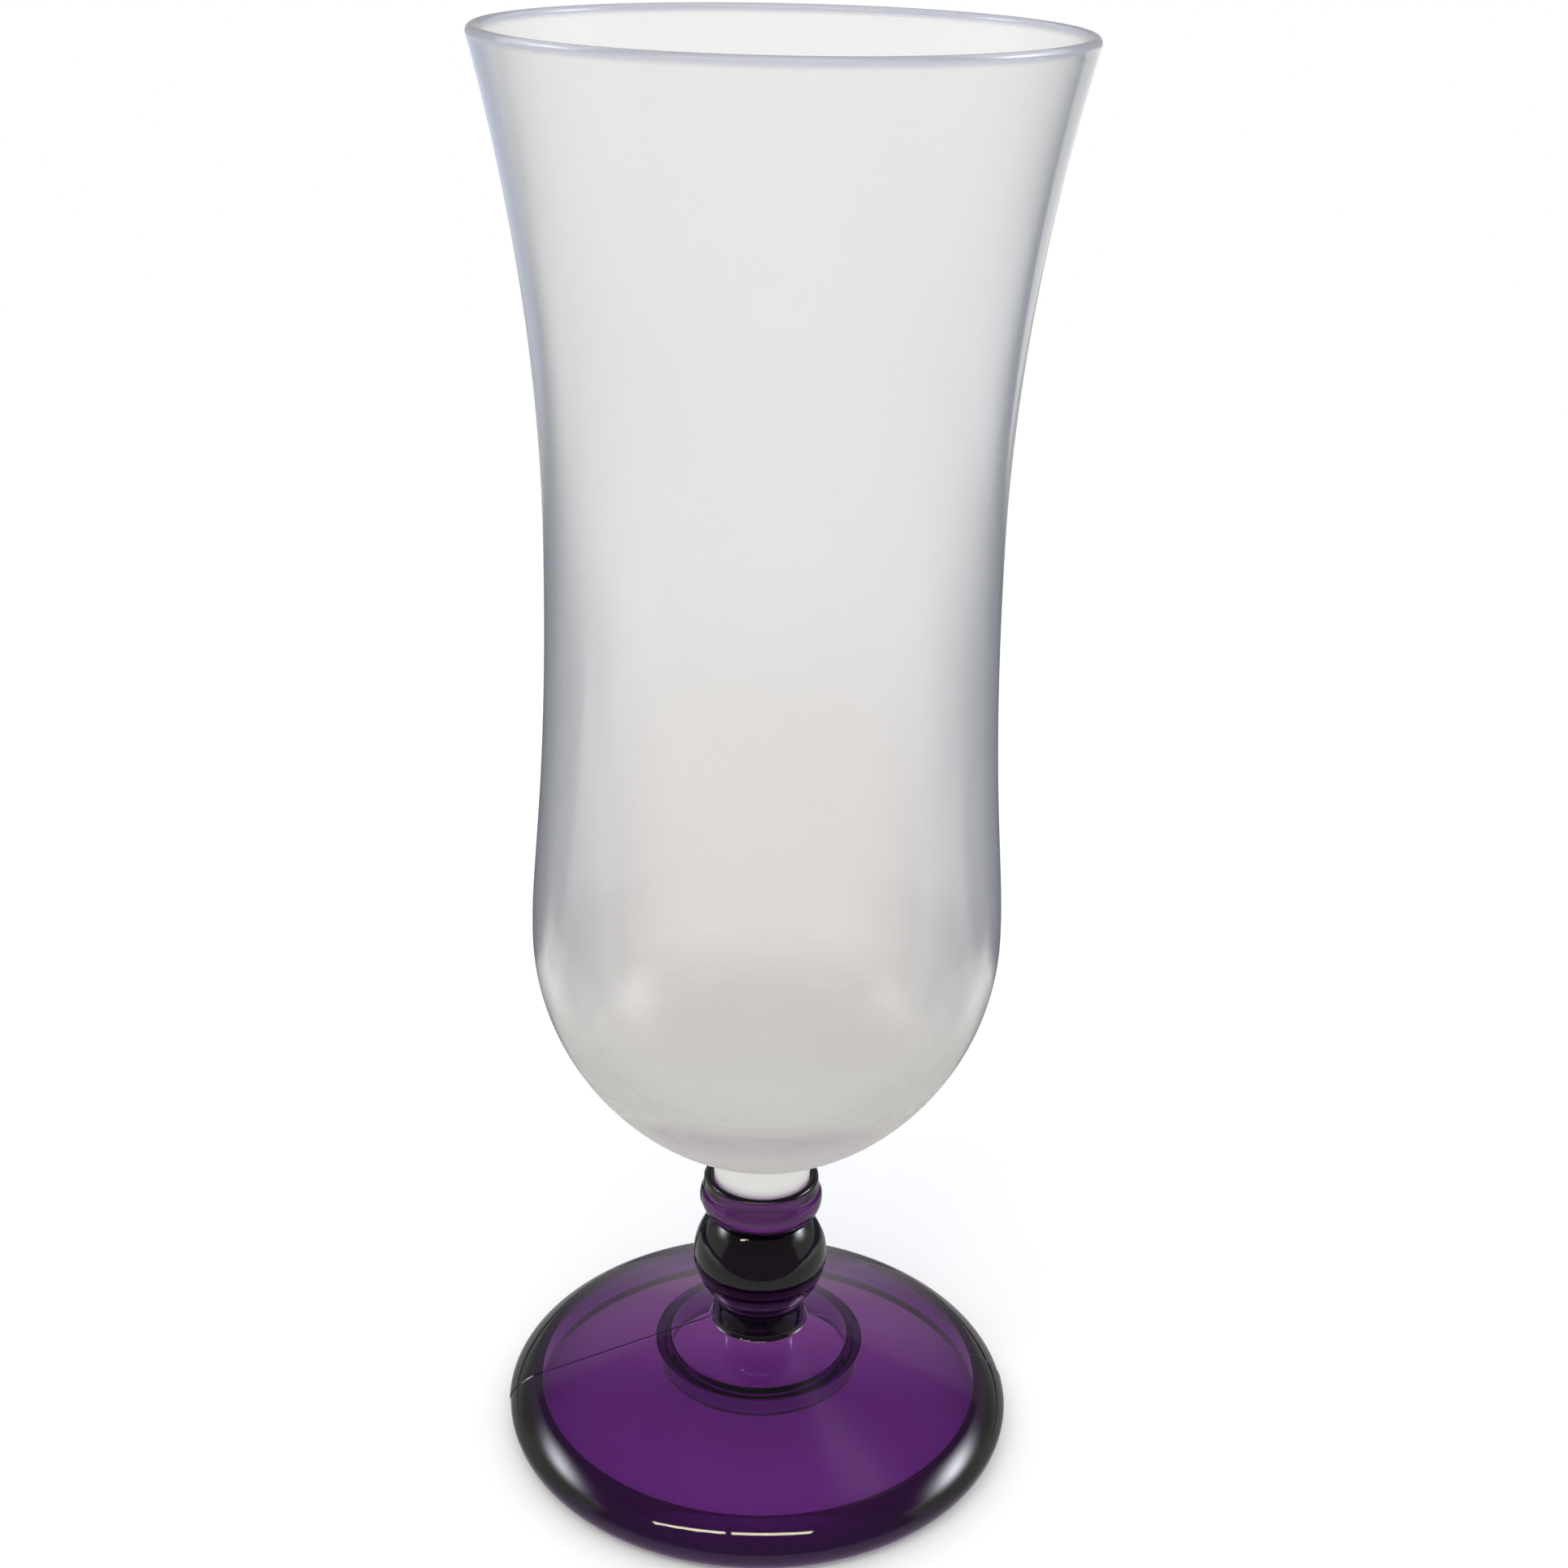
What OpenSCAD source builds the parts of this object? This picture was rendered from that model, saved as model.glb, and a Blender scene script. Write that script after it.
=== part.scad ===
// Two-piece moulded hurricane glass: a tulip bowl whose plug pushes into the socket of a
// turned-looking base. Millimetres, +Z up, origin on the table under the glass's axis.

/* [Bowl] */
// Height of the bowl from its underside to the rim
bowl_h = 156.3; // [130:0.1:180]
// Outer diameter across the lip
rim_d = 76; // [66:0.5:90]
// Outward lean of the wall just under the lip, in degrees
rim_lean = 14; // [4:1:24]
// Outer diameter at the waist, the narrowest ring of the wall
waist_d = 60.2; // [52:0.2:64]
// Height of the waist above the bowl's underside
waist_rise = 92.8; // [80:0.2:105]
// Outer diameter at the belly, the widest ring of the lower bowl
belly_d = 65.4; // [61:0.2:74]
// Height of the belly above the bowl's underside
belly_rise = 36.1; // [30:0.1:44]
// Wall thickness from the belly to the lip
bowl_wall = 1.65; // [1:0.05:2.4]
// Thickness of the heavy bottom, measured on the axis
bottom_t = 4.6; // [2.5:0.1:7]

/* [Plug and socket] */
// Bore of the socket in the collar
socket_d = 14.2; // [11:0.1:17]
// Depth of the socket below the collar's mouth
socket_depth = 5.6; // [4:0.1:6.2]
// Radial clearance of the plug in the socket
fit_clearance = 0.05; // [0.02:0.01:0.1]
// Length of plug that stays in sight between the collar and the bowl
plug_show = 4.4; // [2:0.1:8]
// Gap left under the seated plug
seat_gap = 0.15; // [0.05:0.05:0.3]
// Chamfer that leads the plug in
plug_chamfer = 0.7; // [0.2:0.1:1.5]
// Fillet between the plug and the bowl's underside
plug_fillet = 1.2; // [0.4:0.1:3]

/* [Collar] */
// Height of the collar from its crease on the ball to the mouth
collar_h = 6.9; // [5.4:0.1:9]
// Height of the collar's widest ring above the crease
collar_belly_rise = 3.2; // [2.2:0.1:4.2]
// Wall of the collar at its mouth
mouth_wall = 1.25; // [0.8:0.05:2]
// Wall of the collar at its widest ring
collar_wall = 1.85; // [1.3:0.05:3]

/* [Ball and neck] */
// Width of the ball
ball_d = 19.7; // [17:0.1:26]
// Height of the oval that the ball is cut from
ball_t = 19; // [16:0.1:25]
// Diameter of the crease where the collar springs from the ball
crease_d = 13.6; // [11:0.1:15]
// Diameter of the neck under the ball
neck_d = 13.4; // [10:0.1:15]
// Length of the neck from the foot's cone to the ball
neck_l = 4.4; // [3.4:0.1:8]
// How much wider each side of the neck is at its lower end
neck_flare = 0.15; // [0:0.05:0.8]
// Fillet between the neck and the ball
ball_fillet = 1.1; // [0.5:0.1:1.5]
// Fillet between the neck and the foot
neck_fillet = 1; // [0.5:0.1:1.3]

/* [Foot] */
// How far the foot's edge stays inside the rim's, so that glasses side by side meet at the rim
foot_inset = 0.2; // [-5:0.1:5]
// Height at which the foot's cone meets the neck
cone_top_h = 17.2; // [14:0.1:24]
// Height of the foot's edge where the cone's top line starts to roll over
edge_top_h = 7.5; // [6:0.1:9]
// Twice the height of the edge's widest ring, from which both roundings leave
edge_t = 6.7; // [5:0.1:8]
// Width over which the edge is rolled
edge_round_w = 3.8; // [2.5:0.1:5]
// Width of the solid ring under the edge
edge_ring_w = 4; // [3.6:0.1:8]
// Width of the flat ring that stands on the table
rest_w = 0.5; // [0.4:0.1:1.3]
// Thickness of the foot's conical disc
disc_t = 1.6; // [1.2:0.1:2.6]
// Fillet in the hollow, between the disc and the ring
hollow_fillet = 1.8; // [0.4:0.1:3]
// Rounding of the ring's inner bottom edge
ring_edge_r = 0.3; // [0.2:0.05:0.6]
// Outer diameter of the ring rib under the disc
rib_d = 29.8; // [26:0.2:40]
// Thickness of the ring rib
rib_t = 1.7; // [1.2:0.1:3]
// Depth of the ring rib below the disc
rib_depth = 3.5; // [1.5:0.1:4.5]
// Diameter of the flat gate pad under the neck
pad_d = 11; // [6:0.2:14]
// Depth of the gate pad below the disc
pad_depth = 0.4; // [0.2:0.1:1.5]
// Diameter of the gate's break mark on the pad
gate_d = 2.4; // [1:0.1:4]
// How far the break mark stands proud
gate_t = 0.35; // [0.1:0.05:0.6]

/* [Hidden] */

// Handle lengths of the bowl's curves, as shares of the curve's own width or height
underside_flat_share = 0.456;
underside_side_share = 0.568;
belly_share = 0.2;
waist_under_share = 0.62;
waist_over_share = 0.422;
rim_share = 0.24;
// The inside bottom is rounder than the outside, so it has its own two shares
floor_flat_share = 0.5;
floor_side_share = 0.56;
// Handle lengths of the collar's curves, as shares of its rise and of its overhang
collar_side_share = 0.45;
collar_under_share = 0.5;

// Handle lengths of the edge's roll, as shares of its height and of its width
roll_side_share = 0.45;
roll_cone_share = 0.12;

// Steps of a curve, a fillet and the ball's outline
curve_steps = 20;
fillet_steps = 6;
ball_steps = 28;
turn_fn = 96;

// The base's main radii and heights, from the table up
foot_d = rim_d - 2 * foot_inset;
neck_r = neck_d / 2;
neck_foot_r = neck_r + neck_flare;
ball_r = ball_d / 2;
crease_r = crease_d / 2;
socket_r = socket_d / 2;
ball_low_a = -acos(neck_r / ball_r);
ball_high_a = acos(crease_r / ball_r);
ball_h = cone_top_h + neck_l - ball_t / 2 * sin(ball_low_a);
crease_h = ball_h + ball_t / 2 * sin(ball_high_a);
mouth_h = crease_h + collar_h;
collar_belly_h = crease_h + collar_belly_rise;
collar_belly_r = socket_r + collar_wall;
mouth_r = socket_r + mouth_wall;
socket_floor_h = mouth_h - socket_depth;

// The foot's cone runs from the neck to where the edge rolls over
edge_h = edge_t / 2;
edge_r = foot_d / 2 - edge_round_w;
cone_slope = (cone_top_h - edge_top_h) / (edge_r - neck_foot_r);
cone_angle = atan(cone_slope);

// The bowl's radii, in its own heights above its underside
bowl_h0 = mouth_h + plug_show;
lip_r = bowl_wall / 2;
lip_centre = [rim_d / 2 - lip_r, bowl_h - lip_r];
plug_r = socket_r - fit_clearance;
plug_end = socket_floor_h + seat_gap - bowl_h0;

// Height of the cone's top line and of the disc's underside at a radius
function cone_at(r) = cone_top_h - cone_slope * (r - neck_foot_r);
function under_at(r) = cone_at(r) - disc_t / cos(cone_angle);

// Points of a cubic curve after its first point
function curve(a, b, c, d, steps) =
    [for (i = [1:steps]) let (t = i / steps, s = 1 - t)
        s * s * s * a + 3 * s * s * t * b + 3 * s * t * t * c + t * t * t * d];

// Points of an elliptical arc about a centre, both ends included
function arc(centre, r_wide, r_high, from, to, steps) =
    [for (i = [0:steps]) let (a = from + (to - from) * i / steps)
        [centre.x + r_wide * cos(a), centre.y + r_high * sin(a)]];

// A list turned round
function reversed(list) = [for (i = [len(list) - 1:-1:0]) list[i]];

// One face of the bowl's wall from the axis to the lip, a wall's thickness in from the outside
function bowl_face(low, belly_r, waist_r, lip, flat_share, side_share) =
    let (low_rise = belly_rise - low,
         mid_rise = waist_rise - belly_rise,
         top_rise = lip.y - waist_rise,
         lean = [sin(rim_lean), cos(rim_lean)])
    concat(
        [[0, low]],
        curve([0, low], [flat_share * belly_r, low],
              [belly_r, belly_rise - side_share * low_rise], [belly_r, belly_rise],
              curve_steps),
        curve([belly_r, belly_rise], [belly_r, belly_rise + belly_share * mid_rise],
              [waist_r, waist_rise - waist_under_share * mid_rise], [waist_r, waist_rise],
              curve_steps),
        curve([waist_r, waist_rise], [waist_r, waist_rise + waist_over_share * top_rise],
              lip - rim_share * top_rise * lean, lip, curve_steps));

outside = bowl_face(0, belly_d / 2, waist_d / 2,
    lip_centre + lip_r * [cos(rim_lean), -sin(rim_lean)],
    underside_flat_share, underside_side_share);
inside = bowl_face(bottom_t, belly_d / 2 - bowl_wall, waist_d / 2 - bowl_wall,
    lip_centre - lip_r * [cos(rim_lean), -sin(rim_lean)],
    floor_flat_share, floor_side_share);

// Where the plug's fillet runs out on the underside
root_r = plug_r + plug_fillet;
root_h = lookup(root_r, outside);

bowl_outline = concat(
    [[0, plug_end], [plug_r - plug_chamfer, plug_end], [plug_r, plug_end + plug_chamfer]],
    arc([root_r, root_h - plug_fillet], plug_fillet, plug_fillet, 180, 90, fillet_steps),
    [for (i = [0:len(outside) - 2]) if (outside[i].x > root_r || i > curve_steps) outside[i]],
    arc(lip_centre, lip_r, lip_r, -rim_lean, 180 - rim_lean, 2 * fillet_steps),
    [for (i = [1:len(inside) - 1]) reversed(inside)[i]]);

// Centres of the fillets at the neck's foot and in the hollow
neck_low = [neck_foot_r + neck_fillet,
    cone_at(neck_foot_r + neck_fillet) + neck_fillet / cos(cone_angle)];
ring_r = foot_d / 2 - edge_ring_w;
hollow_corner = [ring_r - hollow_fillet,
    under_at(ring_r - hollow_fillet) - hollow_fillet / cos(cone_angle)];

// The foot's edge, from the ring's inner side over the flat resting ring to the cone
rest_r = ring_r + ring_edge_r + rest_w;
foot_outline = concat(
    arc([ring_r + ring_edge_r, ring_edge_r], ring_edge_r, ring_edge_r, 180, 270, fillet_steps),
    arc([rest_r, edge_h], foot_d / 2 - rest_r, edge_h, -90, 0, curve_steps / 2),
    curve([foot_d / 2, edge_h],
          [foot_d / 2, edge_h + roll_side_share * (edge_top_h - edge_h)],
          [edge_r, edge_top_h] + roll_cone_share * edge_round_w * [1, -cone_slope],
          [edge_r, edge_top_h], curve_steps / 2));

// The neck runs into the ball in a fillet that reaches as far down as out
ball_corner = [neck_r, cone_top_h + neck_l];
fillet_a = -acos((neck_r + ball_fillet) / ball_r);
ball_side = arc([0, ball_h], ball_r, ball_t / 2, fillet_a, ball_high_a, ball_steps);
stem_outline = concat(
    arc(neck_low, neck_fillet, neck_fillet, 270 - cone_angle, 180, fillet_steps),
    [ball_corner - [0, ball_fillet]],
    curve(ball_corner - [0, ball_fillet], ball_corner, ball_corner, ball_side[0],
          fillet_steps),
    [for (i = [1:ball_steps]) ball_side[i]]);

collar_outline = concat(
    curve([crease_r, crease_h],
          [crease_r + collar_under_share * (collar_belly_r - crease_r), crease_h],
          [collar_belly_r, collar_belly_h - collar_under_share * collar_belly_rise],
          [collar_belly_r, collar_belly_h], curve_steps / 2),
    curve([collar_belly_r, collar_belly_h],
          [collar_belly_r, collar_belly_h + collar_side_share * collar_belly_rise],
          [mouth_r, mouth_h - mouth_wall - collar_side_share * collar_belly_rise],
          [mouth_r, mouth_h - mouth_wall / 2], curve_steps / 2),
    arc([socket_r + mouth_wall / 2, mouth_h - mouth_wall / 2], mouth_wall / 2, mouth_wall / 2,
        0, 180, 2 * fillet_steps),
    [[socket_r, socket_floor_h], [0, socket_floor_h]]);

// The underside is walked from the axis out to the ring: gate mark, pad, rib, hollow
pad_r = pad_d / 2;
pad_end_h = under_at(pad_r) - pad_depth;
rib_in_r = rib_d / 2 - rib_t;
rib_end_h = under_at(rib_d / 2) - rib_depth;
hollow_outline = concat(
    [[0, pad_end_h - gate_t], [gate_d / 2, pad_end_h - gate_t], [gate_d / 2, pad_end_h],
     [pad_r, pad_end_h], [pad_r, under_at(pad_r)],
     [rib_in_r, under_at(rib_in_r)], [rib_in_r, rib_end_h],
     [rib_d / 2, rib_end_h], [rib_d / 2, under_at(rib_d / 2)]],
    arc(hollow_corner, hollow_fillet, hollow_fillet, 90 - cone_angle, 0, fillet_steps));

// Tulip bowl with its heavy bottom, rounded lip and plug, one moulding
module bowl() {
    color("gainsboro", 0.6)
    translate([0, 0, bowl_h0])
    rotate_extrude($fn = turn_fn) polygon(bowl_outline);
}

// Collar, ball, neck and hollow foot, one moulding
module base() {
    color("rebeccapurple")
    rotate_extrude($fn = turn_fn)
    polygon(concat(hollow_outline, foot_outline, stem_outline, collar_outline));
}

bowl();
base();
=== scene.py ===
"""Hurricane glass in two mouldings: a translucent bowl whose plug sits in a purple base.

Metres, +Z up, table at z = 0. The camera looks along +Y from in front of the glass.
"""
import math

import bpy
from mathutils import Matrix, Vector


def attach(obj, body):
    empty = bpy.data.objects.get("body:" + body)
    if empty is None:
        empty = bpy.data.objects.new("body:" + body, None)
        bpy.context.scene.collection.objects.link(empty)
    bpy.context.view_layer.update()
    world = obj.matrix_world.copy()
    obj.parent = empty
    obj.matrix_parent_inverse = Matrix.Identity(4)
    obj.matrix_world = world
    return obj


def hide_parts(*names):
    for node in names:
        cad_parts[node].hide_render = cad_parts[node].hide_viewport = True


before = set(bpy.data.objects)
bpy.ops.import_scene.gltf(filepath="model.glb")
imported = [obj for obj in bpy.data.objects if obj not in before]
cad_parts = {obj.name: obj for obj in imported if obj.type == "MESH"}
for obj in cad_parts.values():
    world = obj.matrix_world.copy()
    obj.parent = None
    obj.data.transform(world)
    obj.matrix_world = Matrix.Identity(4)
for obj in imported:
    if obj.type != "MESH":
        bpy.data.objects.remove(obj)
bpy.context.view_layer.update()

MM = 0.001


# Colours and nodes

MATH = "ShaderNodeMath"
RANGE = "ShaderNodeMapRange"
MIX = "ShaderNodeMix"
XYZ = "ShaderNodeSeparateXYZ"
NOISE = "ShaderNodeTexNoise"
# Settings of a range that eases in and out, and the sockets of a mix of two colours
SMOOTH = {"interpolation_type": "SMOOTHSTEP"}
COLOURS = {"data_type": "RGBA"}
SHARE, FIRST, SECOND = 0, 6, 7


def linear(hex_colour):
    """An sRGB hex colour as linear RGBA."""
    parts = [int(hex_colour[i:i + 2], 16) / 255 for i in (1, 3, 5)]
    return tuple(c / 12.92 if c <= 0.04045 else ((c + 0.055) / 1.055) ** 2.4
                 for c in parts) + (1.0,)


def add(tree, kind, inputs=(), **settings):
    """Adds one node. Settings are its own properties. Inputs are in the sockets' order, or
    by socket in a dict, and a node or socket among them is linked. A node gives its result."""
    made = tree.nodes.new(kind)
    for name, value in settings.items():
        setattr(made, name, value)
    by_socket = inputs if isinstance(inputs, dict) else dict(enumerate(inputs))
    for key, value in by_socket.items():
        if isinstance(value, bpy.types.Node):
            value = next(result for result in value.outputs if result.enabled)
        if isinstance(value, bpy.types.NodeSocket):
            tree.links.new(value, made.inputs[key])
        else:
            made.inputs[key].default_value = value
    return made


# The mouldings' sizes, in mm

# Bowl
BOWL_H = 156.3
RIM_D = 76.0
RIM_LEAN = math.radians(14)
WAIST_D = 60.2
WAIST_RISE = 92.8
BELLY_D = 65.4
BELLY_RISE = 36.1
BOWL_WALL = 1.65
BOTTOM_T = 4.6
# Plug and socket
SOCKET_D = 14.2
SOCKET_DEPTH = 5.6
FIT_CLEARANCE = 0.05
PLUG_SHOW = 4.4
SEAT_GAP = 0.15
PLUG_CHAMFER = 0.7
PLUG_FILLET = 1.2
# Collar
COLLAR_H = 6.9
COLLAR_BELLY_RISE = 3.2
MOUTH_WALL = 1.25
COLLAR_WALL = 1.85
# Ball and neck
BALL_D = 19.7
BALL_T = 19.0
CREASE_D = 13.6
NECK_D = 13.4
NECK_L = 4.4
NECK_FLARE = 0.15
BALL_FILLET = 1.1
NECK_FILLET = 1.0
# Foot
FOOT_D = 75.6
CONE_TOP_H = 17.2
EDGE_TOP_H = 7.5
EDGE_T = 6.7
EDGE_ROUND_W = 3.8
EDGE_RING_W = 4.0
REST_W = 0.5
DISC_T = 1.6
HOLLOW_FILLET = 1.8
RING_EDGE_R = 0.3
RIB_D = 29.8
RIB_T = 1.7
RIB_DEPTH = 3.5
PAD_D = 11.0
PAD_DEPTH = 0.4
GATE_D = 2.4
GATE_T = 0.35
# The mould's own small roundings, which the plain CAD corners leave out
MOULD_R = 0.25
LEAD_R = 0.15
GATE_R = 0.1
PAD_EDGE_R = 0.15
PAD_ROOT_R = 0.2
RIB_ROOT_R = 0.4
CREASE_R = 0.12
# The base's parting line: a fine flash, and the step between the mould's halves
PARTING_ANGLE = math.radians(5.5)
MOULD_SHIFT = 0.15
FLASH_H = 0.03
FLASH_W = 0.12

# Handle lengths of the curves, as shares of each curve's own width or height
UNDERSIDE_FLAT_SHARE, UNDERSIDE_SIDE_SHARE = 0.456, 0.568
FLOOR_FLAT_SHARE, FLOOR_SIDE_SHARE = 0.5, 0.56
BELLY_SHARE, WAIST_UNDER_SHARE = 0.2, 0.62
WAIST_OVER_SHARE, RIM_SHARE = 0.422, 0.24
COLLAR_SIDE_SHARE, COLLAR_UNDER_SHARE = 0.45, 0.5
ROLL_SIDE_SHARE, ROLL_CONE_SHARE = 0.45, 0.12

# Fineness of the outlines: steps, the longest straight, and how close a point stands to
# each bend that turns by more than a few degrees
CURVE_STEPS = 44
FILLET_STEPS = 10
BALL_STEPS = 56
LONGEST_STRAIGHT = 2.5
GUARD = 0.12
GUARDED_BEND = 0.07
SAME_POINT = 1e-6
# Columns round the axis, how strongly they gather at the parting line, and in metres how
# close two points are joined
COLUMNS = 240
GATHER = 0.45
JOINED = 1e-7


# Outlines, as (radius, height) in mm

def curve(a, b, c, d, steps):
    """Points of a cubic curve after its first point."""
    out = []
    for i in range(1, steps + 1):
        t = i / steps
        s = 1 - t
        out.append(tuple(s ** 3 * p + 3 * s * s * t * q + 3 * s * t * t * r + t ** 3 * w
                         for p, q, r, w in zip(a, b, c, d)))
    return out


def arc(centre, wide, high, start, end, steps):
    """Points of an elliptical arc about a centre, angles in degrees, both ends included."""
    out = []
    for i in range(steps + 1):
        a = math.radians(start + (end - start) * i / steps)
        out.append((centre[0] + wide * math.cos(a), centre[1] + high * math.sin(a)))
    return out


def rounded(before, corner, after, radius, steps=FILLET_STEPS // 2):
    """A corner's fillet as points, between its two neighbours."""
    b, c, a = (Vector(p) for p in (before, corner, after))
    to_b, to_a = (b - c).normalized(), (a - c).normalized()
    half = to_b.angle(to_a) / 2
    middle = (to_b + to_a).normalized()
    centre = c + middle * radius / math.sin(half)
    start = c + to_b * radius / math.tan(half) - centre
    end = c + to_a * radius / math.tan(half) - centre
    out = []
    for i in range(steps + 1):
        v = start.lerp(end, i / steps).normalized() * radius
        out.append(tuple(centre + v))
    return out


def with_corners(points, radii):
    """A polyline whose corners are rounded where radii names their index."""
    out = []
    for i, p in enumerate(points):
        if i in radii:
            out += rounded(points[i - 1], p, points[i + 1], radii[i])
        else:
            out.append(tuple(p))
    return out


def spaced(points):
    """Adds points on long straights, and one beside each bend, so that shading stays flat."""
    def bend(i):
        """The turn at a point, in radians."""
        if i < 1 or i > len(points) - 2:
            return 0.0
        before = Vector(points[i]) - Vector(points[i - 1])
        after = Vector(points[i + 1]) - Vector(points[i])
        return before.angle(after)

    out = [points[0]]
    for i, (p, q) in enumerate(zip(points, points[1:])):
        length = math.dist(p, q)
        count = int(length / LONGEST_STRAIGHT)
        stops = [k / (count + 1) for k in range(1, count + 1)]
        if length > 3 * GUARD:
            if bend(i) > GUARDED_BEND:
                stops.append(GUARD / length)
            if bend(i + 1) > GUARDED_BEND:
                stops.append(1 - GUARD / length)
        for t in sorted(stops) + [1.0]:
            spot = (p[0] + (q[0] - p[0]) * t, p[1] + (q[1] - p[1]) * t)
            if math.dist(out[-1], spot) > SAME_POINT:
                out.append(spot)
    return out


def bowl_face(low, belly_r, waist_r, lip, flat_share, side_share):
    """One face of the bowl's wall, from the axis to the lip."""
    low_rise = BELLY_RISE - low
    mid_rise = WAIST_RISE - BELLY_RISE
    top_rise = lip[1] - WAIST_RISE
    lean = (math.sin(RIM_LEAN), math.cos(RIM_LEAN))
    return ([(0.0, low)]
            + curve((0, low), (flat_share * belly_r, low),
                    (belly_r, BELLY_RISE - side_share * low_rise), (belly_r, BELLY_RISE),
                    CURVE_STEPS)
            + curve((belly_r, BELLY_RISE), (belly_r, BELLY_RISE + BELLY_SHARE * mid_rise),
                    (waist_r, WAIST_RISE - WAIST_UNDER_SHARE * mid_rise), (waist_r, WAIST_RISE),
                    CURVE_STEPS)
            + curve((waist_r, WAIST_RISE), (waist_r, WAIST_RISE + WAIST_OVER_SHARE * top_rise),
                    (lip[0] - RIM_SHARE * top_rise * lean[0],
                     lip[1] - RIM_SHARE * top_rise * lean[1]), lip, CURVE_STEPS))


def height_on(face, radius):
    """Height of a face at a radius."""
    for (r0, z0), (r1, z1) in zip(face, face[1:]):
        if r0 <= radius <= r1:
            return z0 + (z1 - z0) * (radius - r0) / (r1 - r0)
    raise ValueError("radius off the face")


# The base's main radii and heights, worked out as in the part's source
neck_r = NECK_D / 2
neck_foot_r = neck_r + NECK_FLARE
ball_r = BALL_D / 2
crease_r = CREASE_D / 2
socket_r = SOCKET_D / 2
ball_low_a = -math.acos(neck_r / ball_r)
ball_high_a = math.acos(crease_r / ball_r)
ball_h = CONE_TOP_H + NECK_L - BALL_T / 2 * math.sin(ball_low_a)
crease_h = ball_h + BALL_T / 2 * math.sin(ball_high_a)
mouth_h = crease_h + COLLAR_H
collar_belly_h = crease_h + COLLAR_BELLY_RISE
collar_belly_r = socket_r + COLLAR_WALL
mouth_r = socket_r + MOUTH_WALL
socket_floor_h = mouth_h - SOCKET_DEPTH
edge_h = EDGE_T / 2
edge_r = FOOT_D / 2 - EDGE_ROUND_W
cone_slope = (CONE_TOP_H - EDGE_TOP_H) / (edge_r - neck_foot_r)
cone_angle = math.atan(cone_slope)
bowl_h0 = mouth_h + PLUG_SHOW
plug_r = socket_r - FIT_CLEARANCE
plug_end = socket_floor_h + SEAT_GAP - bowl_h0


def cone_at(r):
    """Height of the disc's top face at a radius."""
    return CONE_TOP_H - cone_slope * (r - neck_foot_r)


def under_at(r):
    """Height of the disc's underside at a radius."""
    return cone_at(r) - DISC_T / math.cos(cone_angle)


def bowl_outline():
    """The bowl from the plug's end over the outside, the lip and the inside back to the axis.
    The photograph shows no parting line on it, so none is made."""
    lip_r = BOWL_WALL / 2
    centre = (RIM_D / 2 - lip_r, BOWL_H - lip_r)
    across = (lip_r * math.cos(RIM_LEAN), -lip_r * math.sin(RIM_LEAN))
    outside = bowl_face(0, BELLY_D / 2, WAIST_D / 2,
                        (centre[0] + across[0], centre[1] + across[1]),
                        UNDERSIDE_FLAT_SHARE, UNDERSIDE_SIDE_SHARE)
    inside = bowl_face(BOTTOM_T, BELLY_D / 2 - BOWL_WALL, WAIST_D / 2 - BOWL_WALL,
                       (centre[0] - across[0], centre[1] - across[1]),
                       FLOOR_FLAT_SHARE, FLOOR_SIDE_SHARE)
    root_r = plug_r + PLUG_FILLET
    root_h = height_on(outside, root_r)
    lean = math.degrees(RIM_LEAN)
    plug = with_corners(
        [(0, plug_end), (plug_r - PLUG_CHAMFER, plug_end), (plug_r, plug_end + PLUG_CHAMFER),
         (plug_r, root_h - PLUG_FILLET)], {1: LEAD_R, 2: LEAD_R})
    points = (plug[:-1]
              + arc((root_r, root_h - PLUG_FILLET), PLUG_FILLET, PLUG_FILLET, 180, 90,
                    FILLET_STEPS)
              + [p for i, p in enumerate(outside[:-1]) if p[0] > root_r or i > CURVE_STEPS]
              + arc(centre, lip_r, lip_r, -lean, 180 - lean, 3 * FILLET_STEPS)
              + inside[-2::-1])
    points = spaced([(r, z + bowl_h0) for r, z in points])
    return points, [0.0] * len(points)


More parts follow.
